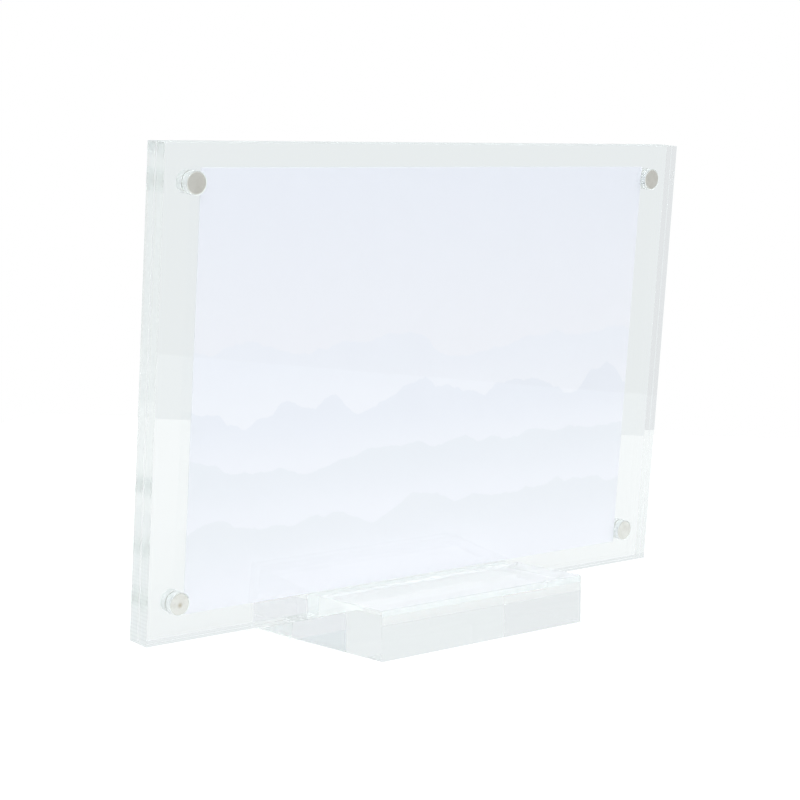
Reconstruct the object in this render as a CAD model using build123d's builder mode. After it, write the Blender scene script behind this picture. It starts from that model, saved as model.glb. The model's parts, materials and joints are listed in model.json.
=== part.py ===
from build123d import *

import os
from math import cos, radians, sin

# Block picture frame: two clear acrylic panels clasp a print between them with disc magnets
# and stand together, leaning back, in the slot of a clear acrylic block.
# Millimetres, +Z up, the display side faces -Y, origin in the middle of the block's underside.

# Print, a standard landscape photo sheet
PRINT_WIDTH = 177.8
PRINT_HEIGHT = 127.0
PRINT_THICKNESS = 0.25
PRINT_CLEARANCE = 0.025  # air between the print and each panel

# Clear panels
SIDE_MARGIN = 14.0  # clear acrylic left and right of the print
EDGE_MARGIN = 7.0  # clear acrylic above and below the print
PANEL_THICKNESS = 4.0
PANEL_BEVEL = 0.3

# Disc magnets, let into through bores at the corners of both panels
MAGNET_DIAMETER = 6.4
MAGNET_EDGE_RADIUS = 0.25
MAGNET_INSET = 11.0  # bore centre from the two nearest panel edges
MAGNET_CLEARANCE = 0.06  # radial gap in the bore
MAGNET_RECESS = 0.05  # below both faces of the panel
BORE_BEVEL = 0.15

# Slotted base block
BASE_LENGTH = 82.5
BASE_DEPTH = 65.0
BASE_HEIGHT = 15.0
BASE_BEVEL = 0.4
SLOT_DEPTH = 6.1  # below the top of the block, in the middle of the slot
SLOT_FORWARD = 1.2  # middle of the slot floor, ahead of the block's middle
SLOT_CLEARANCE = 0.15  # beside the panels, on each side
SEAT_CLEARANCE = 0.05  # under the panels
LEAN = 5.0  # degrees that the panels lean back

PANEL_WIDTH = PRINT_WIDTH + 2 * SIDE_MARGIN
PANEL_HEIGHT = PRINT_HEIGHT + 2 * EDGE_MARGIN
PANEL_GAP = PRINT_THICKNESS + 2 * PRINT_CLEARANCE
STACK_THICKNESS = 2 * PANEL_THICKNESS + PANEL_GAP
SLOT_WIDTH = STACK_THICKNESS + 2 * SLOT_CLEARANCE
SLOT_FLOOR = BASE_HEIGHT - SLOT_DEPTH
BORE_RADIUS = MAGNET_DIAMETER / 2 + MAGNET_CLEARANCE
MAGNET_THICKNESS = PANEL_THICKNESS - 2 * MAGNET_RECESS
MAGNET_SPAN_X = PANEL_WIDTH - 2 * MAGNET_INSET
MAGNET_SPAN_Y = PANEL_HEIGHT - 2 * MAGNET_INSET

# The seat plane lies in the middle of the slot floor: x along the block, y up the leaning
# panels, z out of the display side. The print plane is the same, at the middle of the print.
seat = Plane(
    origin=(0, -SLOT_FORWARD, SLOT_FLOOR),
    x_dir=(1, 0, 0),
    z_dir=(0, -cos(radians(LEAN)), sin(radians(LEAN))),
)
print_plane = Plane(
    origin=seat.from_local_coords(Vector(0, SEAT_CLEARANCE + PANEL_HEIGHT / 2, 0)),
    x_dir=seat.x_dir,
    z_dir=seat.z_dir,
)

os.makedirs("parts", exist_ok=True)

# Base block: one bar of clear acrylic with a leaning slot cut along its whole length
with BuildPart() as base_block:
    with BuildSketch(Plane.YZ):
        Rectangle(BASE_DEPTH, BASE_HEIGHT, align=(Align.CENTER, Align.MIN))
        with Locations((-SLOT_FORWARD, SLOT_FLOOR)):
            Rectangle(
                SLOT_WIDTH,
                2 * SLOT_DEPTH,
                rotation=-LEAN,
                align=(Align.CENTER, Align.MIN),
                mode=Mode.SUBTRACT,
            )
    extrude(amount=BASE_LENGTH / 2, both=True)
    level_faces = base_block.faces().filter_by(Axis.Z)
    corner_edges = base_block.edges().filter_by(Axis.Z)
    chamfer(level_faces.edges() + corner_edges, BASE_BEVEL)
base_block.part.label = "base_block"
export_step(base_block.part, "parts/base_block.step")

# Panels: equal sheets on either side of the print, each with a bore near every corner
PANELS = {
    "front_panel": (print_plane.offset(PANEL_GAP / 2), PANEL_THICKNESS),
    "back_panel": (print_plane.offset(-PANEL_GAP / 2), -PANEL_THICKNESS),
}
for name, (inner_face, growth) in PANELS.items():
    with BuildPart() as panel:
        with BuildSketch(inner_face):
            Rectangle(PANEL_WIDTH, PANEL_HEIGHT)
        extrude(amount=growth)
        chamfer(panel.faces().filter_by(inner_face).edges(), PANEL_BEVEL)
        with Locations(inner_face):
            with GridLocations(MAGNET_SPAN_X, MAGNET_SPAN_Y, 2, 2):
                Hole(BORE_RADIUS)
        mouths = panel.faces().filter_by(inner_face).edges().filter_by(GeomType.CIRCLE)
        chamfer(mouths, BORE_BEVEL)
    panel.part.label = name
    export_step(panel.part, f"parts/{name}.step")

# Print: one sheet of photo paper between the panels
with BuildPart() as photo_insert:
    with BuildSketch(print_plane.offset(-PRINT_THICKNESS / 2)):
        Rectangle(PRINT_WIDTH, PRINT_HEIGHT)
    extrude(amount=PRINT_THICKNESS)
photo_insert.part.label = "photo_insert"
export_step(photo_insert.part, "parts/photo_insert.step")

# Magnets: one plated disc in each bore, left and right as seen from the display side
MAGNET_LAYERS = {
    "front": print_plane.offset(PANEL_GAP / 2 + MAGNET_RECESS),
    "back": print_plane.offset(-PANEL_GAP / 2 - MAGNET_RECESS - MAGNET_THICKNESS),
}
MAGNET_CENTRES = {
    "top_left": (-MAGNET_SPAN_X / 2, MAGNET_SPAN_Y / 2),
    "top_right": (MAGNET_SPAN_X / 2, MAGNET_SPAN_Y / 2),
    "bottom_left": (-MAGNET_SPAN_X / 2, -MAGNET_SPAN_Y / 2),
    "bottom_right": (MAGNET_SPAN_X / 2, -MAGNET_SPAN_Y / 2),
}
for layer, disc_plane in MAGNET_LAYERS.items():
    for corner, centre in MAGNET_CENTRES.items():
        name = f"{layer}_magnet_{corner}"
        with BuildPart() as magnet:
            with BuildSketch(disc_plane):
                with Locations(centre):
                    Circle(MAGNET_DIAMETER / 2)
            extrude(amount=MAGNET_THICKNESS)
            fillet(magnet.edges().filter_by(GeomType.CIRCLE), MAGNET_EDGE_RADIUS)
        magnet.part.label = name
        export_step(magnet.part, f"parts/{name}.step")
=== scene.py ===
"""Acrylic block picture frame: clear panels, disc magnets, a print and a slotted block in a pale studio."""

import json
import math

import bpy
import numpy as np
from bpy.props import FloatProperty, FloatVectorProperty, PointerProperty
from bpy.types import Operator, Panel, PropertyGroup
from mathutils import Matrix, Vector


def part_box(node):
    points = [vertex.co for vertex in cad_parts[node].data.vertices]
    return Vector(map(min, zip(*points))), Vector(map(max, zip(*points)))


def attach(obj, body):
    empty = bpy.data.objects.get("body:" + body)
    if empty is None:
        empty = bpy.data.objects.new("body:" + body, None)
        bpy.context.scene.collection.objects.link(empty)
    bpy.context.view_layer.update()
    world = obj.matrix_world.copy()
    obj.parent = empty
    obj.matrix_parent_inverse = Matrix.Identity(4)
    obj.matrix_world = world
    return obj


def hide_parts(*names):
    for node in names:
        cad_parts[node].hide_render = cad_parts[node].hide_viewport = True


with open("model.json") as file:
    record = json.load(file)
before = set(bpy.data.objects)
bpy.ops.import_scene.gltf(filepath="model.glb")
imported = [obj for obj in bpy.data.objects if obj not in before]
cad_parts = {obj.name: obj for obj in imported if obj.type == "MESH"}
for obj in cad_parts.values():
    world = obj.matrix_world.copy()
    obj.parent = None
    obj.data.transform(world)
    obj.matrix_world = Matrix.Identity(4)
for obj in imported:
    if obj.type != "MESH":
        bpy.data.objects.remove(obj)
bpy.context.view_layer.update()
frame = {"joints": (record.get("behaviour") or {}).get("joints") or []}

bl_info = {
    "name": "Acrylic Block Frame",
    "version": (1, 0, 0),
    "blender": (4, 5, 0),
    "location": "View3D > Sidebar > Block Frame",
    "description": "Builds a clear block picture frame around its packed solids",
    "category": "Object",
}

MM = 0.001
JOIN_STEP = 0.001 * MM  # points nearer than this are made one
ROUND_STEPS = 4  # facets of a quarter round

# Sockets of a Mix node that mixes colours: its share, both colours and its result
SHARE, FROM, TO, MIXED = 0, 6, 7, 2

# The panels lean back along the axis that the frame lifts out on
LEAN_UP = np.array(frame["joints"][0]["axis"])
LEAN_ANGLE = math.atan2(LEAN_UP[1], LEAN_UP[2])
FRONT_NORMAL = np.array([0.0, -LEAN_UP[2], LEAN_UP[1]])
ACROSS = np.array([1.0, 0.0, 0.0])


def node_middle(node):
    """Middle of a CAD node's box, as an array."""
    low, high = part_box(node)
    return (np.array(low) + np.array(high)) / 2


def leaning_size(node):
    """Width, height and thickness of a CAD sheet that leans: its box, turned back by the lean.

    The box is height * sin + thickness * cos deep and height * cos + thickness * sin high.
    """
    low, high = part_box(node)
    width, deep, tall = np.array(high) - np.array(low)
    sine, cosine = LEAN_UP[1], LEAN_UP[2]
    height, thickness = np.linalg.solve([[sine, cosine], [cosine, sine]], [deep, tall])
    return width, height, thickness


PANEL_WIDTH, PANEL_HEIGHT, PANEL_THICKNESS = leaning_size("back_panel")
PRINT_WIDTH, PRINT_HEIGHT, PRINT_THICKNESS = leaning_size("photo_insert")
MAGNET_RADIUS = (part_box("back_magnet_top_left")[1].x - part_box("back_magnet_top_left")[0].x) / 2
CORNERS = ("top_left", "top_right", "bottom_left", "bottom_right")

# Each side's body, and which way along FRONT_NORMAL its outer face looks
SIDES = {"front": ("front_half", 1.0), "back": ("back_half", -1.0)}


def linear(code):
    """An sRGB hex colour as linear red, green and blue."""
    channels = np.array([int(code[i : i + 2], 16) for i in (0, 2, 4)]) / 255
    low, high = channels / 12.92, ((channels + 0.055) / 1.055) ** 2.4
    return tuple(float(c) for c in np.where(channels <= 0.04045, low, high))


def opaque(colour):
    """A colour with full alpha, as a colour socket takes it."""
    return (*colour, 1.0)


def length_prop(name, description, default):
    """A length in metres."""
    return FloatProperty(
        name=name, description=description, default=default, precision=5, subtype="DISTANCE", unit="LENGTH"
    )


def colour_prop(name, description, code):
    """A colour, given as sRGB hex."""
    return FloatVectorProperty(
        name=name, description=description, subtype="COLOR", size=3, min=0, max=1, default=linear(code)
    )


def share_prop(name, description, default):
    """A share or a roughness, from 0 to 1."""
    return FloatProperty(
        name=name, description=description, default=default, min=0, max=1, subtype="FACTOR"
    )


class AcrylicSettings(PropertyGroup):
    """Clear panels and block."""

    edge_round: length_prop("Edge rounding", "Radius along a panel's edges", 0.05 * MM)
    bore_round: length_prop("Bore rounding", "Radius at the mouth of a magnet bore", 0.15 * MM)
    bore_gap: length_prop("Bore gap", "Air round a magnet in its bore", 0.06 * MM)
    saw_pitch: length_prop("Saw pitch", "Spacing of the cutter's marks along an edge", 1.15 * MM)
    saw_depth: length_prop("Saw depth", "Depth of the cutter's marks after polishing", 0.001 * MM)
    saw_reach: length_prop("Saw reach", "Height at which polishing has taken the marks away", 36 * MM)
    saw_grey: share_prop("Saw grey", "How much a cutter's mark darkens the edge", 0.1)
    block_round: length_prop("Block rounding", "Radius along the block's edges", 0.06 * MM)
    slot_width: length_prop("Slot width", "Width of the slot in the block", 8.6 * MM)
    slot_floor: length_prop("Slot floor", "Height of the slot's floor, in its middle", 8.9 * MM)
    slot_forward: length_prop("Slot forward", "Middle of the slot's floor ahead of the block's", 1.2 * MM)
    clear: colour_prop("Clear", "What a polished face lets through", "FFFFFF")
    edge: colour_prop("Edge", "Glow of the sawn side", "F6F8F7")
    sawn_clarity: share_prop("Sawn clarity", "Light that the sawn side lets through", 0.6)
    sawn_haze: share_prop("Sawn haze", "Roughness of the sawn side", 0.08)
    # Painted shade: the top edge's tint is darker than the sawn sides', so that the light from above does
    # not clip it to white
    shaded: colour_prop("Rubbed", "Tint of the rubbed top edge", "EAEFEE")
    rubbed_clarity: share_prop("Rubbed clarity", "Light that the top edge lets through", 0.7)
    rubbed_haze: share_prop("Rubbed haze", "Roughness of the top edge", 0.05)
    bore: colour_prop("Bore", "Tint of a drilled bore", "F4F8F8")
    bore_haze: share_prop("Bore haze", "Roughness that the drill leaves in a bore", 0.3)
    bore_clarity: share_prop("Bore clarity", "Light that a bore's wall lets through", 0.35)
    satin: colour_prop("Satin", "Tint of the milled slot", "F8FBFB")
    slot_haze: share_prop("Slot haze", "Roughness that the mill leaves in the slot", 0.62)
    slot_clarity: share_prop("Slot clarity", "Light that the slot's walls let through", 0.6)
    ior: FloatProperty(name="IOR", description="Refractive index of cast acrylic", default=1.49, min=1)


class MagnetSettings(PropertyGroup):
    """Nickel plated disc magnets."""

    rim_round: length_prop("Rim rounding", "Radius of the plated rim", 0.25 * MM)
    plating: colour_prop("Plating", "Clean nickel plating", "EFEEE9")
    tarnish: colour_prop("Tarnish", "Dull film on old plating", "DEDBD4")
    speck: colour_prop("Speck", "Brown speck left by glue", "A89468")


class PrintSettings(PropertyGroup):
    """Photo paper with a plain landscape on its display side."""

    paper: colour_prop("Paper", "Bare reverse of the sheet", "ECEDF3")
    corner_round: length_prop("Corner rounding", "Radius of the sheet's cut corners", 0.3 * MM)
    sky: colour_prop("Sky", "Upper part of the picture", "C6D5EA")
    haze: colour_prop("Haze", "Sky just over the hills", "F1EEEC")
    mist: colour_prop("Mist", "Foot of each range of hills", "F1F4F6")
    show_through: share_prop("Show-through", "How much of the picture shows on the reverse", 0.13)


class StageSettings(PropertyGroup):
    """Table, light and camera."""

    table: colour_prop("Table", "Matt pale table top", "DEE0E0")
    table_glow: colour_prop("Table glow", "Table top without shadows", "F4F8F8")
    table_fill: share_prop("Table fill", "How much of that shows in glass and metal", 0.68)
    wall: colour_prop("Wall", "Pale wall behind the table", "EAEFF0")
    wall_side: colour_prop("Wall side", "Foot of that wall further along, less lit", "E1E4E6")
    room: colour_prop("Room", "Upper part of the room before the table", "E7EBEE")
    room_foot: colour_prop("Room foot", "The room below the table's height", "E6E9E9")
    room_grey: colour_prop("Room grey", "What reflections show low in the room, at one side", "CECFCD")
    ceiling: FloatProperty(
        name="Ceiling light", description="Strength of the white light from above", default=1.9, min=0
    )
    ceiling_seen: colour_prop("Ceiling seen", "How that light shows in glass and metal", "F3F8FA")
    lens: FloatProperty(
        name="Lens", description="Focal length", default=95.02, min=1, subtype="DISTANCE_CAMERA"
    )


def settings():
    """All the settings on the scene."""
    return bpy.context.scene.block_frame


def add_node(tree, kind, inputs=None, **options):
    """Add a node, set its options and feed its inputs: a socket is linked, other values are set."""
    node = tree.nodes.new(kind)
    for name, value in options.items():
        setattr(node, name, value)
    for key, value in (inputs or {}).items():
        if isinstance(value, bpy.types.NodeSocket):
            tree.links.new(value, node.inputs[key])
        else:
            node.inputs[key].default_value = value
    return node


def new_material(name):
    """An empty node material and its tree."""
    material = bpy.data.materials.new(name)
    material.use_nodes = True
    material.node_tree.nodes.clear()
    return material, material.node_tree


def leaning_coordinates(tree, node):
    """Object coordinates, upright and centred on a leaning CAD node: x across, y through, z up it."""
    place = add_node(tree, "ShaderNodeTexCoord")
    return add_node(
        tree,
        "ShaderNodeMapping",
        {
            "Vector": place.outputs["Object"],
            "Location": node_middle(node),
            "Rotation": (-LEAN_ANGLE, 0, 0),
        },
        vector_type="TEXTURE",
    ).outputs["Vector"]


# Slight waves in a cast face
WAVE_WIDTH = 25.0 * MM
WAVE_DEPTH = 0.003 * MM


def polished_acrylic():
    """Cast acrylic with its faces as cast: clear as water, with a slight waviness in its gloss."""
    acrylic = settings().acrylic
    material, tree = new_material("polished_cast_acrylic")
    place = add_node(tree, "ShaderNodeTexCoord")
    waves = add_node(
        tree,
        "ShaderNodeTexNoise",
        {"Vector": place.outputs["Object"], "Scale": 1 / WAVE_WIDTH, "Detail": 0.0},
    )
    bump = add_node(
        tree, "ShaderNodeBump", {"Height": waves.outputs["Fac"], "Distance": WAVE_DEPTH}
    )
    surface = add_node(
        tree,
        "ShaderNodeBsdfPrincipled",
        {
            "Base Color": opaque(acrylic.clear),
            "Roughness": 0.0,
            "IOR": acrylic.ior,
            "Transmission Weight": 1.0,
            "Normal": bump.outputs[0],
        },
    )
    add_node(tree, "ShaderNodeOutputMaterial", {"Surface": surface.outputs[0]})
    return material


# Streaks across an edge, drawn coarser than a real cutter's scratches, which are too fine to show
STREAK_WIDTH = 0.8 * MM
STREAK_HAZE = 0.02


def sawn_acrylic(name, tint, clarity, roughness):
    """Edge of a panel as saw and polish left it: a soft pale glow, as its fine haze gathers light.

    The cutter's marks, a sine of the run along the edge, fade up the sides, where the polishing has taken
    them away.
    """
    acrylic = settings().acrylic
    material, tree = new_material(name)
    run = add_node(tree, "ShaderNodeAttribute", attribute_name="edge_run")
    polish = add_node(tree, "ShaderNodeAttribute", attribute_name="polish")
    phase = add_node(
        tree,
        "ShaderNodeMath",
        {0: run.outputs["Fac"], 1: 2 * math.pi / acrylic.saw_pitch},
        operation="MULTIPLY",
    )
    wave = add_node(tree, "ShaderNodeMath", {0: phase.outputs[0]}, operation="SINE")
    left = add_node(
        tree, "ShaderNodeMath", {0: 1.0, 1: polish.outputs["Fac"]}, operation="SUBTRACT", use_clamp=True
    )
    height = add_node(
        tree, "ShaderNodeMath", {0: wave.outputs[0], 1: left.outputs[0]}, operation="MULTIPLY"
    )
    bump = add_node(
        tree, "ShaderNodeBump", {"Height": height.outputs[0], "Distance": acrylic.saw_depth / 2}
    )
    dirt = add_node(
        tree,
        "ShaderNodeMath",
        {0: height.outputs[0], 1: acrylic.saw_grey},
        operation="MULTIPLY",
        use_clamp=True,
    )
    colour = add_node(
        tree,
        "ShaderNodeMix",
        {SHARE: dirt.outputs[0], FROM: opaque(tint), TO: opaque((0, 0, 0))},
        data_type="RGBA",
    )
    streaks = add_node(
        tree,
        "ShaderNodeTexNoise",
        {"W": run.outputs["Fac"], "Scale": 1 / STREAK_WIDTH, "Detail": 2.0},
        noise_dimensions="1D",
    )
    haze = add_node(
        tree,
        "ShaderNodeMapRange",
        {
            "Value": streaks.outputs["Fac"],
            "To Min": roughness - STREAK_HAZE,
            "To Max": roughness + STREAK_HAZE,
        },
    )
    surface = add_node(
        tree,
        "ShaderNodeBsdfPrincipled",
        {
            "Base Color": colour.outputs[MIXED],
            "Roughness": haze.outputs[0],
            "IOR": acrylic.ior,
            "Transmission Weight": clarity,
            "Normal": bump.outputs[0],
        },
    )
    add_node(tree, "ShaderNodeOutputMaterial", {"Surface": surface.outputs[0]})
    return material


# Rings in a bore, drawn wider than a real drill's, which are too fine to show
RING_PITCH = 0.8 * MM
RING_STEADY = 60.0  # noise steps per metre round a ring, so few that the ring is even
RING_HAZE = 0.1


def drilled_acrylic():
    """Bore left by a drill: a soft grey sheen with rings, so that a magnet's barrel shows only faintly."""
    acrylic = settings().acrylic
    material, tree = new_material("drilled_acrylic_bore")
    place = add_node(tree, "ShaderNodeTexCoord")
    rings = add_node(
        tree,
        "ShaderNodeMapping",
        {
            "Vector": place.outputs["Object"],
            "Rotation": (LEAN_ANGLE, 0, 0),
            "Scale": (RING_STEADY, 1 / RING_PITCH, RING_STEADY),
        },
    )
    lines = add_node(
        tree, "ShaderNodeTexNoise", {"Vector": rings.outputs[0], "Scale": 1.0, "Detail": 1.0}
    )
    haze = add_node(
        tree,
        "ShaderNodeMapRange",
        {
            "Value": lines.outputs["Fac"],
            "To Min": acrylic.bore_haze - RING_HAZE,
            "To Max": acrylic.bore_haze + RING_HAZE,
        },
    )
    surface = add_node(
        tree,
        "ShaderNodeBsdfPrincipled",
        {
            "Base Color": opaque(acrylic.bore),
            "Roughness": haze.outputs[0],
            "IOR": acrylic.ior,
            "Transmission Weight": acrylic.bore_clarity,
        },
    )
    add_node(tree, "ShaderNodeOutputMaterial", {"Surface": surface.outputs[0]})
    return material


# Lines that the mill left along the slot
MILL_LENGTH = 9.0 * MM
MILL_WIDTH = 0.3 * MM
MILL_DEPTH = 0.003 * MM
MILL_HAZE = 0.12


def milled_acrylic():
    """Walls of the slot as the mill left them: frosted and pale, with fine lines along the cut."""
    acrylic = settings().acrylic
    material, tree = new_material("milled_acrylic_slot")
    place = add_node(tree, "ShaderNodeTexCoord")
    drawn = add_node(
        tree,
        "ShaderNodeMapping",
        {
            "Vector": place.outputs["Object"],
            "Scale": (1 / MILL_LENGTH, 1 / MILL_WIDTH, 1 / MILL_WIDTH),
        },
    )
    lines = add_node(
        tree, "ShaderNodeTexNoise", {"Vector": drawn.outputs[0], "Scale": 1.0, "Detail": 2.0}
    )
    haze = add_node(
        tree,
        "ShaderNodeMapRange",
        {
            "Value": lines.outputs["Fac"],
            "To Min": acrylic.slot_haze - MILL_HAZE,
            "To Max": acrylic.slot_haze + MILL_HAZE,
        },
    )
    bump = add_node(
        tree, "ShaderNodeBump", {"Height": lines.outputs["Fac"], "Distance": MILL_DEPTH}
    )
    surface = add_node(
        tree,
        "ShaderNodeBsdfPrincipled",
        {
            "Base Color": opaque(acrylic.satin),
            "Roughness": haze.outputs[0],
            "IOR": acrylic.ior,
            "Transmission Weight": acrylic.slot_clarity,
            "Normal": bump.outputs[0],
        },
    )
    add_node(tree, "ShaderNodeOutputMaterial", {"Surface": surface.outputs[0]})
    return material


# Dull film on the plating: width of its patches, noise at which it starts and is full, and its cover there
FILM_WIDTH = 2.2 * MM
FILM_START = 0.45
FILM_FULL = 0.75
FILM_COVER = 0.6
PLATING_ROUGHNESS = (0.12, 0.3)
PEEL_WIDTH = 0.5 * MM
PEEL_DEPTH = 0.004 * MM


def nickel_plating():
    """Nickel plated magnet: a warm grey mirror, softened by fine orange peel and patches of dull film."""
    magnet = settings().magnet
    material, tree = new_material("nickel_plating")
    place = add_node(tree, "ShaderNodeTexCoord")
    patches = add_node(
        tree,
        "ShaderNodeTexNoise",
        {"Vector": place.outputs["Object"], "Scale": 1 / FILM_WIDTH, "Detail": 3.0},
    )
    film = add_node(
        tree,
        "ShaderNodeMapRange",
        {
            "Value": patches.outputs["Fac"],
            "From Min": FILM_START,
            "From Max": FILM_FULL,
            "To Max": FILM_COVER,
        },
    )
    clean = add_node(
        tree,
        "ShaderNodeMix",
        {SHARE: film.outputs[0], FROM: opaque(magnet.plating), TO: opaque(magnet.tarnish)},
        data_type="RGBA",
    )
    speck = add_node(tree, "ShaderNodeAttribute", attribute_name="speck")
    colour = add_node(
        tree,
        "ShaderNodeMix",
        {SHARE: speck.outputs["Fac"], FROM: clean.outputs[MIXED], TO: opaque(magnet.speck)},
        data_type="RGBA",
    )
    rough = add_node(
        tree,
        "ShaderNodeMapRange",
        {
            "Value": patches.outputs["Fac"],
            "To Min": PLATING_ROUGHNESS[0],
            "To Max": PLATING_ROUGHNESS[1],
        },
    )
    peel = add_node(
        tree, "ShaderNodeTexNoise", {"Vector": place.outputs["Object"], "Scale": 1 / PEEL_WIDTH}
    )
    bump = add_node(
        tree, "ShaderNodeBump", {"Height": peel.outputs["Fac"], "Distance": PEEL_DEPTH}
    )
    surface = add_node(
        tree,
        "ShaderNodeBsdfPrincipled",
        {
            "Base Color": colour.outputs[MIXED],
            "Metallic": 1.0,
            "Roughness": rough.outputs[0],
            "Normal": bump.outputs[0],
        },
    )
    add_node(tree, "ShaderNodeOutputMaterial", {"Surface": surface.outputs[0]})
    return material


# Ranges of hills from far to near: height of the line up the sheet, height and width of the hills, where
# their noise starts, and colour
HILLS = (
    (10.0 * MM, 30.0 * MM, 46.0 * MM, 0.0, "D3DEE9"),
    (-6.0 * MM, 26.0 * MM, 34.0 * MM, 1.31, "B4C5D5"),
    (-22.0 * MM, 22.0 * MM, 52.0 * MM, 2.47, "B9CBCB"),
    (-40.0 * MM, 16.0 * MM, 30.0 * MM, 3.83, "C3D1CB"),
)
CREST_DETAIL = 7.0
CREST_ROUGHNESS = 0.5
CREST_BLUR = 0.35 * MM
MIST_DEPTH = 21.0 * MM


def landscape(tree):
    """Colour of a plain picture of hills: ranges laid one over the other, each below a noise line.

    Below the middle of its line, each range fades into the level mist that lies before the next one.
    """
    picture = settings().picture
    place = leaning_coordinates(tree, "photo_insert")
    split = add_node(tree, "ShaderNodeSeparateXYZ", {0: place})
    rise = add_node(
        tree,
        "ShaderNodeMapRange",
        {"Value": split.outputs["Z"], "From Min": 0.0, "From Max": PRINT_HEIGHT / 2},
    )
    colour = add_node(
        tree,
        "ShaderNodeMix",
        {SHARE: rise.outputs[0], FROM: opaque(picture.haze), TO: opaque(picture.sky)},
        data_type="RGBA",
    ).outputs[MIXED]
    for level, swell, width, start, code in HILLS:
        along = add_node(tree, "ShaderNodeMath", {0: split.outputs["X"], 1: start})
        line = add_node(
            tree,
            "ShaderNodeTexNoise",
            {
                "W": along.outputs[0],
                "Scale": 1 / width,
                "Detail": CREST_DETAIL,
                "Roughness": CREST_ROUGHNESS,
            },
            noise_dimensions="1D",
        )
        crest = add_node(
            tree,
            "ShaderNodeMapRange",
            {"Value": line.outputs["Fac"], "To Min": level - swell / 2, "To Max": level + swell / 2},
        )
        depth = add_node(
            tree,
            "ShaderNodeMath",
            {0: crest.outputs[0], 1: split.outputs["Z"]},
            operation="SUBTRACT",
        )
        below = add_node(tree, "ShaderNodeMapRange", {"Value": depth.outputs[0], "From Max": CREST_BLUR})
        mist = add_node(
            tree,
            "ShaderNodeMapRange",
            {"Value": split.outputs["Z"], "From Min": level, "From Max": level - MIST_DEPTH},
            interpolation_type="SMOOTHSTEP",
        )
        slope = add_node(
            tree,
            "ShaderNodeMix",
            {SHARE: mist.outputs[0], FROM: opaque(linear(code)), TO: opaque(picture.mist)},
            data_type="RGBA",
        )
        colour = add_node(
            tree,
            "ShaderNodeMix",
            {SHARE: below.outputs[0], FROM: colour, TO: slope.outputs[MIXED]},
            data_type="RGBA",
        ).outputs[MIXED]
    return colour


COAT_ROUGHNESS = 0.3

# Tooth of the paper's reverse, drawn coarser than the real one, which is too fine to show
TOOTH_WIDTH = 0.6 * MM
TOOTH_DEPTH = 0.003 * MM
TOOTH_ROUGHNESS = (0.5, 0.7)


def photo_paper_display():
    """Resin coated photo paper, display side: the picture under a smooth satin coat."""
    material, tree = new_material("photo_paper_display")
    surface = add_node(
        tree,
        "ShaderNodeBsdfPrincipled",
        {"Base Color": landscape(tree), "Roughness": COAT_ROUGHNESS},
    )
    add_node(tree, "ShaderNodeOutputMaterial", {"Surface": surface.outputs[0]})
    return material


def photo_paper_reverse():
    """Resin coated photo paper, reverse: cool bright white, a fine tooth and a ghost of the picture."""
    picture = settings().picture
    material, tree = new_material("photo_paper_reverse")
    place = add_node(tree, "ShaderNodeTexCoord")
    ghost = add_node(
        tree,
        "ShaderNodeMix",
        {SHARE: picture.show_through, FROM: opaque(picture.paper), TO: landscape(tree)},
        data_type="RGBA",
    )
    tooth = add_node(
        tree,
        "ShaderNodeTexNoise",
        {"Vector": place.outputs["Object"], "Scale": 1 / TOOTH_WIDTH, "Detail": 2.0},
    )
    bump = add_node(
        tree, "ShaderNodeBump", {"Height": tooth.outputs["Fac"], "Distance": TOOTH_DEPTH}
    )
    rough = add_node(
        tree,
        "ShaderNodeMapRange",
        {
            "Value": tooth.outputs["Fac"],
            "To Min": TOOTH_ROUGHNESS[0],
            "To Max": TOOTH_ROUGHNESS[1],
        },
    )
    surface = add_node(
        tree,
        "ShaderNodeBsdfPrincipled",
        {
            "Base Color": ghost.outputs[MIXED],
            "Roughness": rough.outputs[0],
            "Normal": bump.outputs[0],
        },
    )
    add_node(tree, "ShaderNodeOutputMaterial", {"Surface": surface.outputs[0]})
    return material


def grid_faces(rows, columns, turned=False, closed=False):
    """Quads between neighbouring rows and columns of a grid of points numbered row by row.

    A closed grid has quads from its last column to its first, too.
    """
    row, column = np.meshgrid(np.arange(rows - 1), np.arange(columns - (not closed)), indexing="ij")
    here, there = row * columns + column, row * columns + (column + 1) % columns
    quads = np.stack([here, there, there + columns, here + columns], axis=-1).reshape(-1, 4)
    return quads[:, ::-1] if turned else quads


def merged(points):
    """Points with those that lie together made one, and the new number of each old one."""
    steps = np.round(points / JOIN_STEP).astype(np.int64)
    _, first, place = np.unique(steps, axis=0, return_index=True, return_inverse=True)
    return points[first], place.ravel()


def weld(patches):
    """Join patches of (points, quads) into one set, with points that lie together made one."""
    starts = np.cumsum([0] + [len(points) for points, _ in patches[:-1]])
    points, place = merged(np.concatenate([points for points, _ in patches]))
    quads = np.concatenate([quads + start for (_, quads), start in zip(patches, starts)])
    return points, place[quads]


def faces_of(quads):
    """Faces as lists, quads first, and where each stood.

    A quad with two corners in one place becomes a triangle.
    """
    doubled = quads == np.roll(quads, -1, axis=1)
    poor = doubled.any(axis=1)
    triangles = quads[poor][~doubled[poor]].reshape(-1, 3)
    order = np.concatenate([np.flatnonzero(~poor), np.flatnonzero(poor)])
    return quads[~poor].tolist() + triangles.tolist(), order


def add_piece(name, points, faces, materials, body, replaced):
    """Put points and faces into a mesh object that stands for CAD nodes and rides on their body."""
    mesh = bpy.data.meshes.new(name)
    mesh.from_pydata(points.tolist(), [], faces)
    for material in materials:
        mesh.materials.append(material)
    piece = bpy.data.objects.new(name, mesh)
    bpy.context.scene.collection.objects.link(piece)
    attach(piece, body)
    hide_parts(*replaced)
    return piece


def set_attribute(mesh, name, domain, values):
    """Store one number for each point or face of a mesh."""
    mesh.attributes.new(name, "FLOAT", domain).data.foreach_set("value", np.asarray(values, np.float32))


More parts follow.
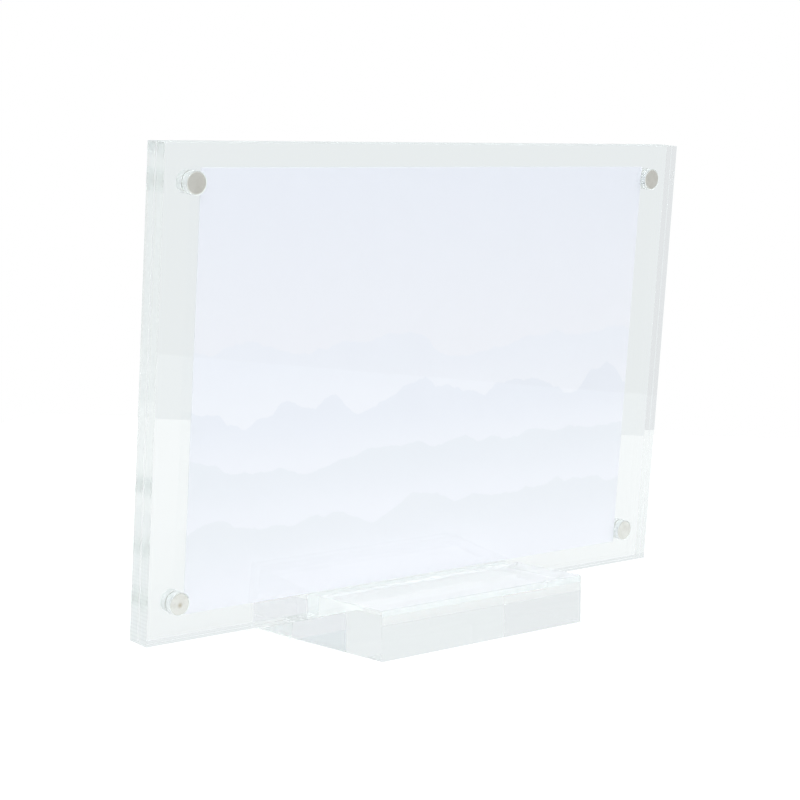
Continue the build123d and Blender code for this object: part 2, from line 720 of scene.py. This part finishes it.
def rounded_step(radius, steps=ROUND_STEPS):
    """Offsets and drops of a quarter round, from a face (0, 0) to the side below it (radius, radius)."""
    turn = np.linspace(0, math.pi / 2, steps + 1)
    return radius * np.sin(turn), radius * (1 - np.cos(turn))


def rounded_outline(corners, radii, steps=ROUND_STEPS):
    """Points and outward normals of a polygon with rounded corners, which runs counter-clockwise.

    The outward normals n1 and n2 of a corner's two edges give the centre of its arc, the corner less
    radius * (n1 + n2) / (1 + n1 . n2), and the arc is centre + radius * normal as the normal turns from n1
    to n2. A negative radius rounds an inner corner.
    """
    corners = np.asarray(corners, float)
    along = np.roll(corners, -1, axis=0) - corners
    along /= np.linalg.norm(along, axis=1, keepdims=True)
    after = np.stack([along[:, 1], -along[:, 0]], axis=1)
    before = np.roll(after, 1, axis=0)
    cosine = np.sum(before * after, axis=1)[:, None]
    radii = np.asarray(radii, float)[:, None]
    centres = corners - radii * (before + after) / (1 + cosine)
    turn = np.arccos(cosine)[:, :, None]
    part = np.linspace(0, 1, steps + 1)[None, :, None]
    leaving, reaching = np.sin((1 - part) * turn), np.sin(part * turn)
    normals = (leaving * before[:, None] + reaching * after[:, None]) / np.sin(turn)
    points = centres[:, None] + radii[:, None] * normals
    return points.reshape(-1, 2), normals.reshape(-1, 2)


RAYS_PER_SIDE = 24  # rays from a bore to one side of its quarter of a panel


def quarter_panel(centre, radius):
    """One quarter of a panel round its bore, and its outer edge, with x and y from the panel's middle.

    Rays leave the bore's centre at angles that take in the four corners of the quarter. Each row of the
    first grid is one step of a profile: along the outer face to the bore, over its rounded mouth, down the
    bore, and back along the inner face. The second grid carries a side with two rounded edges along the
    quarter's two outer sides.
    """
    acrylic = settings().acrylic
    edge, mouth = acrylic.edge_round, acrylic.bore_round
    reach = np.array([PANEL_WIDTH / 2 - edge, PANEL_HEIGHT / 2 - edge])
    low, high = -centre, reach - centre
    corner_y = [low[1], high[1], high[1], low[1]]
    corner_x = [high[0], high[0], low[0], low[0]]
    corners = np.unwrap(np.arctan2(corner_y, corner_x))
    corners = np.append(corners, corners[0] + 2 * math.pi)
    fans = [np.linspace(a, b, RAYS_PER_SIDE, endpoint=False) for a, b in zip(corners, corners[1:])]
    angles = np.append(np.concatenate(fans), corners[-1])
    ray = np.stack([np.cos(angles), np.sin(angles)])
    with np.errstate(divide="ignore"):
        stretch = np.maximum(low[:, None] / ray, high[:, None] / ray).min(axis=0)
    border = centre[:, None] + ray * stretch
    offset, drop = rounded_step(mouth)
    rings = radius + mouth - offset
    ring_heights = PANEL_THICKNESS - drop
    rings = np.concatenate([rings, rings[::-1]])
    ring_heights = np.concatenate([ring_heights, PANEL_THICKNESS - ring_heights[::-1]])
    inner = centre[:, None, None] + rings[None, :, None] * ray[:, None]
    flat = np.concatenate([border[:, None], inner, border[:, None]], axis=1)
    heights = np.concatenate([[PANEL_THICKNESS], ring_heights, [0.0]])
    body = np.stack([flat[0], flat[1], np.repeat(heights[:, None], len(angles), axis=1)], axis=-1)

    outer = border[:, : 2 * RAYS_PER_SIDE + 1]
    outward = (np.abs(outer - reach[:, None]) < JOIN_STEP).astype(float)
    offset, drop = rounded_step(edge)
    offset = np.concatenate([offset, offset[::-1]])
    drop = np.concatenate([drop, PANEL_THICKNESS - drop[::-1]])
    side = outer[:, None] + offset[None, :, None] * outward[:, None]
    wall_heights = np.repeat(PANEL_THICKNESS - drop[:, None], outer.shape[1], axis=1)
    wall = np.stack([side[0], side[1], wall_heights], axis=-1)
    return body, wall


# Finishes on a panel: faces and two edges polished, one side sawn, bores drilled, the top smoothed by
# rubbing and tinted darker as painted shade
POLISHED, SAWN, DRILLED, RUBBED_SHADED = range(4)


def panel_mesh(side_sign):
    """Points and quads of a panel in its place, and what its finish needs.

    The quarter is mirrored into the other three, and the whole is set on the CAD panel: x across, y up the
    lean, z out of the panel's outer face. With it come the finish and smoothness of each face, and for each
    point its run along the edge and how far it is polished.
    """
    name = "front" if side_sign > 0 else "back"
    middle = node_middle(f"{name}_panel")
    magnet = node_middle(f"{name}_magnet_top_right") - middle
    centre = np.array([abs(magnet @ ACROSS), abs(magnet @ LEAN_UP)])
    body, wall = quarter_panel(centre, MAGNET_RADIUS + settings().acrylic.bore_gap)
    patches, finish, smooth = [], [], []
    for mirror_x, mirror_y in ((1, 1), (-1, 1), (-1, -1), (1, -1)):
        mirror = np.array([mirror_x, mirror_y, 1.0])
        turned = mirror_x * mirror_y < 0
        for grid, is_wall in ((body, False), (wall, True)):
            rows, columns = grid.shape[:2]
            quads = grid_faces(rows, columns, turned != is_wall)
            patches.append(((grid * mirror).reshape(-1, 3), quads))
            row_of_face = np.repeat(np.arange(rows - 1), columns - 1)
            if is_wall:
                level = np.tile(np.arange(columns - 1) >= (columns - 1) // 2, rows - 1)
                side_finish = SAWN if mirror_x * side_sign > 0 else POLISHED
                finish.append(np.where(level, RUBBED_SHADED if mirror_y > 0 else POLISHED, side_finish))
                smooth.append(row_of_face != (rows - 1) // 2)
            else:
                in_bore = (row_of_face != 0) & (row_of_face != rows - 2)
                finish.append(np.where(in_bore, DRILLED, POLISHED))
                smooth.append(in_bore)
    points, quads = weld(patches)
    across, up = points[:, 0], points[:, 1]
    on_side = np.abs(np.abs(across) - PANEL_WIDTH / 2) <= np.abs(np.abs(up) - PANEL_HEIGHT / 2)
    run = np.where(on_side, up, across)
    climb = (up + PANEL_HEIGHT / 2) / settings().acrylic.saw_reach
    polish = np.where(on_side, np.clip(climb, 0, 1), 1.0)
    placed = (
        middle
        + side_sign * across[:, None] * ACROSS
        + up[:, None] * LEAN_UP
        + side_sign * (points[:, 2:] - PANEL_THICKNESS / 2) * FRONT_NORMAL
    )
    return placed, quads, np.concatenate(finish), np.concatenate(smooth), run, polish


class BLOCKFRAME_OT_panels(Operator):
    """Two clear panels, each with a bore at every corner, a sawn side, and a top edge smoothed by rubbing
    and tinted darker as painted shade
    """

    bl_idname = "block_frame.panels"
    bl_label = "Clear Panels"

    def execute(self, context):
        acrylic = settings().acrylic
        finishes = [
            polished_acrylic(),
            sawn_acrylic(
                "sawn_acrylic_edge", acrylic.edge, acrylic.sawn_clarity, acrylic.sawn_haze
            ),
            drilled_acrylic(),
            # The top edge's material carries painted shade: its tint is darker than the sides', against the
            # light from above
            sawn_acrylic(
                "rubbed_shaded_acrylic_edge", acrylic.shaded, acrylic.rubbed_clarity, acrylic.rubbed_haze
            ),
        ]
        for name, (body, side_sign) in SIDES.items():
            points, quads, finish, smooth, run, polish = panel_mesh(side_sign)
            piece = add_piece(
                f"clear_panel_{name}",
                points,
                quads.tolist(),
                finishes,
                body,
                [f"{name}_panel"],
            )
            mesh = piece.data
            mesh.polygons.foreach_set("use_smooth", smooth)
            mesh.polygons.foreach_set("material_index", finish.astype(np.int32))
            set_attribute(mesh, "edge_run", "POINT", run)
            set_attribute(mesh, "polish", "POINT", polish)
            mesh.update()
        return {"FINISHED"}


# Corners of the block's outline, counter-clockwise from its lower front one: the slot is between these
BACK_MOUTH = 3
FRONT_MOUTH = 6
INNER_ROUND = -0.5  # rounding of the slot's inner corners, as a share of the block's


class BLOCKFRAME_OT_block(Operator):
    """Clear block with a milled, leaning slot

    The outline across the block, slot included, is carried along its length. At both ends it draws in along
    its normals as a quarter round, radius * (1 - cos) in for radius * sin along, and a flat face closes it.
    """

    bl_idname = "block_frame.block"
    bl_label = "Base Block"

    def execute(self, context):
        acrylic = settings().acrylic
        low, high = (np.array(corner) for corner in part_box("base_block"))
        across, up = np.array([LEAN_UP[2], -LEAN_UP[1]]), LEAN_UP[1:]
        floor = np.array([-acrylic.slot_forward, acrylic.slot_floor])
        back_foot = floor + across * acrylic.slot_width / 2
        front_foot = floor - across * acrylic.slot_width / 2
        back_mouth = back_foot + up * (high[2] - back_foot[1]) / up[1]
        front_mouth = front_foot + up * (high[2] - front_foot[1]) / up[1]
        corners = [
            low[1:],
            (high[1], low[2]),
            high[1:],
            back_mouth,
            back_foot,
            front_foot,
            front_mouth,
            (low[1], high[2]),
        ]
        radius = acrylic.block_round
        shares = np.array([1, 1, 1, 1, INNER_ROUND, INNER_ROUND, 1, 1])
        outline, normals = rounded_outline(corners, radius * shares)
        offset, drop = rounded_step(radius)
        inset = np.concatenate([radius - offset, (radius - offset)[::-1]])
        station = np.concatenate([low[0] + drop, (high[0] - drop)[::-1]])
        section = outline[None] - inset[:, None, None] * normals[None]
        length = np.repeat(station[:, None], len(outline), axis=1)
        grid = np.concatenate([length[..., None], section], axis=-1)
        rows, columns = grid.shape[:2]
        points, place = merged(grid.reshape(-1, 3))
        faces, order = faces_of(place[grid_faces(rows, columns, closed=True)])
        rings = place[:columns][::-1], place[-columns:]
        ends = [ring[ring != np.roll(ring, 1)].tolist() for ring in rings]
        piece = add_piece(
            "clear_block",
            points,
            faces + ends,
            [bpy.data.materials["polished_cast_acrylic"], milled_acrylic()],
            "base",
            ["base_block"],
        )
        row, column = np.divmod(order, columns)
        per_corner = ROUND_STEPS + 1
        straight = column % per_corner == ROUND_STEPS
        flat = straight & (row == rows // 2 - 1)
        in_slot = (column >= BACK_MOUTH * per_corner + ROUND_STEPS) & (column < FRONT_MOUTH * per_corner)
        piece.data.polygons.foreach_set("use_smooth", np.append(~flat, [False, False]))
        piece.data.polygons.foreach_set("material_index", np.append(in_slot, [0, 0]).astype(np.int32))
        piece.data.update()
        return {"FINISHED"}


# A speck of old glue on one disc: its place across and up from the disc's middle, its size and its cover
SPECKED_DISC = "back_magnet_bottom_right"
SPECK_PLACE = (0.1 * MM, -0.3 * MM)
SPECK_RADIUS = 1.0 * MM
SPECK_COVER = 0.6

# Facets of a disc: round it, from its middle to its rim and over the rim, and the angle of a sharp edge
DISC_TURNS = 96
FACE_RINGS = 11
RIM_STEPS = 6
SHARP_ANGLE = math.radians(25)


class BLOCKFRAME_OT_magnets(Operator):
    """Eight plated discs with rounded rims, one in each bore

    A profile runs from the middle of one face over both quarter rounds of the rim to the middle of the
    other face, and is turned about the disc's axis: reach * cos, reach * sin, level. The thickness comes
    from the depth of a leaning disc's box, 2 * radius * sin + thickness * cos.
    """

    bl_idname = "block_frame.magnets"
    bl_label = "Disc Magnets"

    def execute(self, context):
        material = nickel_plating()
        rim = settings().magnet.rim_round
        offset, drop = rounded_step(rim, RIM_STEPS)
        for name, (body, side_sign) in SIDES.items():
            for corner in CORNERS:
                node = f"{name}_magnet_{corner}"
                low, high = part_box(node)
                deep = high.y - low.y
                thickness = (deep - 2 * MAGNET_RADIUS * LEAN_UP[1]) / LEAN_UP[2]
                half = thickness / 2
                flat = np.linspace(0, MAGNET_RADIUS - rim, FACE_RINGS, endpoint=False)
                reach = np.concatenate([flat, MAGNET_RADIUS - rim + offset])
                level = np.concatenate([np.full(len(flat), half), half - drop])
                reach = np.concatenate([reach, reach[::-1]])
                level = np.concatenate([level, -level[::-1]])
                turn = np.linspace(0, 2 * math.pi, DISC_TURNS + 1)
                grid = np.stack(
                    [
                        reach[:, None] * np.cos(turn),
                        reach[:, None] * np.sin(turn),
                        np.repeat(level[:, None], len(turn), axis=1),
                    ],
                    axis=-1,
                )
                points, quads = weld([(grid.reshape(-1, 3), grid_faces(*grid.shape[:2], True))])
                faces, _ = faces_of(quads)
                placed = (
                    node_middle(node)
                    + side_sign * points[:, :1] * ACROSS
                    + points[:, 1:2] * LEAN_UP
                    + side_sign * points[:, 2:] * FRONT_NORMAL
                )
                piece = add_piece(
                    f"disc_{node}", placed, faces, [material], body, [node]
                )
                away = np.hypot(points[:, 0] - SPECK_PLACE[0], points[:, 1] - SPECK_PLACE[1])
                speck = SPECK_COVER * np.clip(1 - away / SPECK_RADIUS, 0, 1) * (node == SPECKED_DISC)
                set_attribute(piece.data, "speck", "POINT", speck)
                piece.data.polygons.foreach_set("use_smooth", np.ones(len(piece.data.polygons), bool))
                piece.data.set_sharp_from_angle(angle=SHARP_ANGLE)
        return {"FINISHED"}


class BLOCKFRAME_OT_print(Operator):
    """Photo paper: a thin sheet with the picture on its display side and bare paper behind

    Rings of the sheet's outline run from the middle of its display side over its cut edge, which is
    bevelled by a quarter of the thickness, to the middle of its reverse.
    """

    bl_idname = "block_frame.print"
    bl_label = "Photo Print"

    def execute(self, context):
        middle = node_middle("photo_insert")
        half = np.array([PRINT_WIDTH, PRINT_HEIGHT]) / 2
        corners = half * [[-1, -1], [1, -1], [1, 1], [-1, 1]]
        outline, normals = rounded_outline(corners, [settings().picture.corner_round] * 4)
        edge = PRINT_THICKNESS / 4
        inset = np.array([edge, 0, 0, edge])
        rings = outline[None] - inset[:, None, None] * normals[None]
        rings = np.concatenate([rings[:1] * 0, rings, rings[:1] * 0])
        level = np.array([2, 2, 1, -1, -2, -2]) * edge
        levels = np.repeat(level[:, None], len(outline), axis=1)
        grid = np.concatenate([rings, levels[..., None]], axis=-1)
        rows, columns = grid.shape[:2]
        quads = grid_faces(rows, columns, turned=True, closed=True)
        points, quads = weld([(grid.reshape(-1, 3), quads)])
        faces, order = faces_of(quads)
        placed = middle + points[:, :1] * ACROSS + points[:, 1:2] * LEAN_UP + points[:, 2:] * FRONT_NORMAL
        piece = add_piece(
            "photo_print",
            placed,
            faces,
            [photo_paper_display(), photo_paper_reverse()],
            "insert",
            ["photo_insert"],
        )
        piece.data.polygons.foreach_set("material_index", (order >= columns).astype(np.int32))
        piece.data.update()
        return {"FINISHED"}


# Table top in plan: one corner, the ways that its two sides run from there, and their lengths
TABLE_CORNER = np.array([-586.0, 17.0]) * MM
TABLE_TURN = math.radians(33.5)
TABLE_SIZE = (1800.0 * MM, 690.0 * MM)
TABLE_DROP = 0.1 * MM  # a hair below the block, so that air lies between them
TABLE_LIFT = 0.3  # light that camera rays see on top of the table's own, so that it is white

# Where the parts of the studio meet, in shares of a direction of length 1
ROOM_SIDE = (-0.3, 0.954, 0.0)  # way to the room in front of the table, and away from the wall
ROOM_BLEND = (-0.2, 0.2)  # that way, from wall to room
FOOT_BLEND = (-0.1, 0.1)  # upwards, from the room's foot to the room
GREY_BLEND = (-0.25, -0.45)  # along X, into the grey that reflections show
DIM_BLEND = (0.3, 0.55)  # along X, into the less lit foot of the wall
DIM_TOP = 0.3  # upwards, where that foot ends
CEILING_FOOT = (0.95, 0.3)  # upwards, where the ceiling light starts over the wall and over the room
CEILING_BLEND = 0.2  # upwards, from there to its full strength

# Photographer's place: floor point, eye height, turn from the panels' back and downward tilt
CAMERA_PLACE = np.array([431.0, 486.4, 143.8]) * MM
CAMERA_TURN = math.radians(41.15)
CAMERA_TILT = math.radians(6.43)
CAMERA_NEAR = 10.0 * MM

# Light goes to and fro in clear sheets many times before it leaves them
LIGHT_BOUNCES = 256
CLEAR_BOUNCES = 224


def white_table():
    """Matt pale laminate: the camera sees it as a white background, and glass and metal as a pale one."""
    stage = settings().stage
    material, tree = new_material("white_laminate_table")
    path = add_node(tree, "ShaderNodeLightPath")
    matt = add_node(tree, "ShaderNodeBsdfDiffuse", {"Color": opaque(stage.table)})
    beyond = add_node(
        tree,
        "ShaderNodeMath",
        {0: path.outputs["Is Glossy Ray"], 1: path.outputs["Is Transmission Ray"]},
        operation="MAXIMUM",
    )
    part = add_node(
        tree, "ShaderNodeMath", {0: beyond.outputs[0], 1: stage.table_fill}, operation="MULTIPLY"
    )
    even = add_node(tree, "ShaderNodeEmission", {"Color": opaque(stage.table_glow), "Strength": 1.0})
    seen = add_node(
        tree, "ShaderNodeMixShader", {0: part.outputs[0], 1: matt.outputs[0], 2: even.outputs[0]}
    )
    lift = add_node(
        tree, "ShaderNodeMath", {0: path.outputs["Is Camera Ray"], 1: TABLE_LIFT}, operation="MULTIPLY"
    )
    glow = add_node(tree, "ShaderNodeEmission", {"Strength": lift.outputs[0]})
    both = add_node(tree, "ShaderNodeAddShader", {0: seen.outputs[0], 1: glow.outputs[0]})
    add_node(tree, "ShaderNodeOutputMaterial", {"Surface": both.outputs[0]})
    return material


def studio_world():
    """Pale wall behind, room in front and a white ceiling light over both; the camera sees plain white.

    The wall's foot is dimmer further along, reflections show a grey low in the room at one side, and glass
    and metal show the ceiling in a tone of its own, below the strength with which it lights the object.
    """
    stage = settings().stage
    world = bpy.data.worlds.new("studio")
    world.use_nodes = True
    tree = world.node_tree
    tree.nodes.clear()
    path = add_node(tree, "ShaderNodeLightPath")
    place = add_node(tree, "ShaderNodeTexCoord")
    towards = add_node(
        tree,
        "ShaderNodeVectorMath",
        {0: place.outputs["Generated"], 1: ROOM_SIDE},
        operation="DOT_PRODUCT",
    )
    share = add_node(
        tree,
        "ShaderNodeMapRange",
        {"Value": towards.outputs["Value"], "From Min": ROOM_BLEND[0], "From Max": ROOM_BLEND[1]},
    ).outputs[0]
    split = add_node(tree, "ShaderNodeSeparateXYZ", {0: place.outputs["Generated"]})
    above = add_node(
        tree,
        "ShaderNodeMapRange",
        {"Value": split.outputs["Z"], "From Min": FOOT_BLEND[0], "From Max": FOOT_BLEND[1]},
    )
    aside = add_node(
        tree,
        "ShaderNodeMapRange",
        {"Value": split.outputs["X"], "From Min": GREY_BLEND[0], "From Max": GREY_BLEND[1]},
    )
    thrown_back = add_node(
        tree,
        "ShaderNodeMath",
        {0: path.outputs["Is Glossy Ray"], 1: path.outputs["Is Transmission Ray"]},
        operation="SUBTRACT",
        use_clamp=True,
    )
    mirrored = add_node(
        tree, "ShaderNodeMath", {0: aside.outputs[0], 1: thrown_back.outputs[0]}, operation="MULTIPLY"
    )
    foot = add_node(
        tree,
        "ShaderNodeMix",
        {SHARE: mirrored.outputs[0], FROM: opaque(stage.room_foot), TO: opaque(stage.room_grey)},
        data_type="RGBA",
    )
    room = add_node(
        tree,
        "ShaderNodeMix",
        {SHARE: above.outputs[0], FROM: foot.outputs[MIXED], TO: opaque(stage.room)},
        data_type="RGBA",
    )
    along = add_node(
        tree,
        "ShaderNodeMapRange",
        {"Value": split.outputs["X"], "From Min": DIM_BLEND[0], "From Max": DIM_BLEND[1]},
    )
    low = add_node(
        tree,
        "ShaderNodeMapRange",
        {"Value": split.outputs["Z"], "From Max": DIM_TOP, "To Min": 1.0, "To Max": 0.0},
    )
    dim = add_node(
        tree, "ShaderNodeMath", {0: along.outputs[0], 1: low.outputs[0]}, operation="MULTIPLY"
    )
    wall = add_node(
        tree,
        "ShaderNodeMix",
        {SHARE: dim.outputs[0], FROM: opaque(stage.wall), TO: opaque(stage.wall_side)},
        data_type="RGBA",
    )
    around = add_node(
        tree,
        "ShaderNodeMix",
        {SHARE: share, FROM: wall.outputs[MIXED], TO: room.outputs[MIXED]},
        data_type="RGBA",
    )
    wall_top = add_node(
        tree,
        "ShaderNodeMapRange",
        {"Value": share, "To Min": CEILING_FOOT[0], "To Max": CEILING_FOOT[1]},
    )
    over_wall = add_node(
        tree, "ShaderNodeMath", {0: split.outputs["Z"], 1: wall_top.outputs[0]}, operation="SUBTRACT"
    )
    rise = add_node(
        tree,
        "ShaderNodeMapRange",
        {"Value": over_wall.outputs[0], "From Max": CEILING_BLEND},
        interpolation_type="SMOOTHSTEP",
    )
    # A ray that no matt surface has scattered has a diffuse depth of 0
    direct = add_node(
        tree, "ShaderNodeMath", {0: path.outputs["Diffuse Depth"], 1: 0.5}, operation="LESS_THAN"
    )
    beyond = add_node(
        tree,
        "ShaderNodeMath",
        {0: path.outputs["Is Glossy Ray"], 1: path.outputs["Is Transmission Ray"]},
        operation="MAXIMUM",
    )
    seen = add_node(
        tree, "ShaderNodeMath", {0: direct.outputs[0], 1: beyond.outputs[0]}, operation="MULTIPLY"
    )
    ceiling = add_node(
        tree,
        "ShaderNodeMix",
        {SHARE: seen.outputs[0], FROM: opaque([stage.ceiling] * 3), TO: opaque(stage.ceiling_seen)},
        data_type="RGBA",
    )
    studio = add_node(
        tree,
        "ShaderNodeMix",
        {SHARE: rise.outputs[0], FROM: around.outputs[MIXED], TO: ceiling.outputs[MIXED]},
        data_type="RGBA",
    )
    shown = add_node(
        tree,
        "ShaderNodeMix",
        {SHARE: path.outputs["Is Camera Ray"], FROM: studio.outputs[MIXED], TO: opaque((1, 1, 1))},
        data_type="RGBA",
    )
    backdrop = add_node(tree, "ShaderNodeBackground", {"Color": shown.outputs[MIXED], "Strength": 1.0})
    add_node(tree, "ShaderNodeOutputWorld", {"Surface": backdrop.outputs[0]})
    return world


class BLOCKFRAME_OT_stage(Operator):
    """White table, pale studio all round and the camera at the photographer's place"""

    bl_idname = "block_frame.stage"
    bl_label = "Stage"

    def execute(self, context):
        scene = context.scene
        along = np.array([math.sin(TABLE_TURN), -math.cos(TABLE_TURN)])
        over = np.array([math.cos(TABLE_TURN), math.sin(TABLE_TURN)])
        steps = np.array([[0, 0], [1, 0], [1, 1], [0, 1]]) * TABLE_SIZE
        plan = TABLE_CORNER + steps[:, :1] * over + steps[:, 1:] * along
        points = np.column_stack([plan, np.full(4, -TABLE_DROP)])
        mesh = bpy.data.meshes.new("table")
        mesh.from_pydata(points.tolist(), [], [[0, 3, 2, 1]])
        mesh.materials.append(white_table())
        table = bpy.data.objects.new("table", mesh)
        scene.collection.objects.link(table)

        scene.world = studio_world()

        camera = bpy.data.cameras.new("photographer")
        camera.lens = settings().stage.lens
        camera.clip_start = CAMERA_NEAR
        holder = bpy.data.objects.new("photographer", camera)
        holder.location = CAMERA_PLACE
        holder.rotation_euler = (math.pi / 2 - CAMERA_TILT, 0, math.pi - CAMERA_TURN)
        scene.collection.objects.link(holder)
        scene.camera = holder
        scene.view_settings.view_transform = "Standard"
        scene.cycles.max_bounces = LIGHT_BOUNCES
        scene.cycles.transmission_bounces = CLEAR_BOUNCES
        scene.cycles.glossy_bounces = CLEAR_BOUNCES
        scene.cycles.blur_glossy = 0.0
        scene.cycles.sampling_pattern = "TABULATED_SOBOL"
        return {"FINISHED"}


class BLOCKFRAME_PT_sidebar(Panel):
    """Builds the frame piece by piece"""

    bl_idname = "BLOCKFRAME_PT_sidebar"
    bl_label = "Acrylic Block Frame"
    bl_space_type = "VIEW_3D"
    bl_region_type = "UI"
    bl_category = "Block Frame"

    def draw(self, context):
        for group in GROUPS:
            box = self.layout.box()
            box.label(text=group.title())
            values = getattr(settings(), group)
            for name in values.bl_rna.properties.keys():
                if name not in ("rna_type", "name"):
                    box.prop(values, name)
        for operator in OPERATORS:
            self.layout.operator(operator.bl_idname)


class BlockFrameSettings(PropertyGroup):
    """Everything that can be set on the frame and its stage."""

    acrylic: PointerProperty(type=AcrylicSettings)
    magnet: PointerProperty(type=MagnetSettings)
    picture: PointerProperty(type=PrintSettings)
    stage: PointerProperty(type=StageSettings)


GROUPS = ("acrylic", "magnet", "picture", "stage")
OPERATORS = (
    BLOCKFRAME_OT_panels,
    BLOCKFRAME_OT_block,
    BLOCKFRAME_OT_magnets,
    BLOCKFRAME_OT_print,
    BLOCKFRAME_OT_stage,
)
CLASSES = (
    AcrylicSettings,
    MagnetSettings,
    PrintSettings,
    StageSettings,
    BlockFrameSettings,
    *OPERATORS,
    BLOCKFRAME_PT_sidebar,
)


def register():
    """Register the classes and put the settings on the scene."""
    for each in CLASSES:
        bpy.utils.register_class(each)
    bpy.types.Scene.block_frame = PointerProperty(type=BlockFrameSettings)


def unregister():
    """Take the settings off the scene and unregister the classes."""
    del bpy.types.Scene.block_frame
    for each in reversed(CLASSES):
        bpy.utils.unregister_class(each)


def main():
    """Build the frame and its stage."""
    register()
    bpy.ops.block_frame.panels()
    bpy.ops.block_frame.block()
    bpy.ops.block_frame.magnets()
    bpy.ops.block_frame.print()
    bpy.ops.block_frame.stage()


if __name__ == "__main__":
    main()
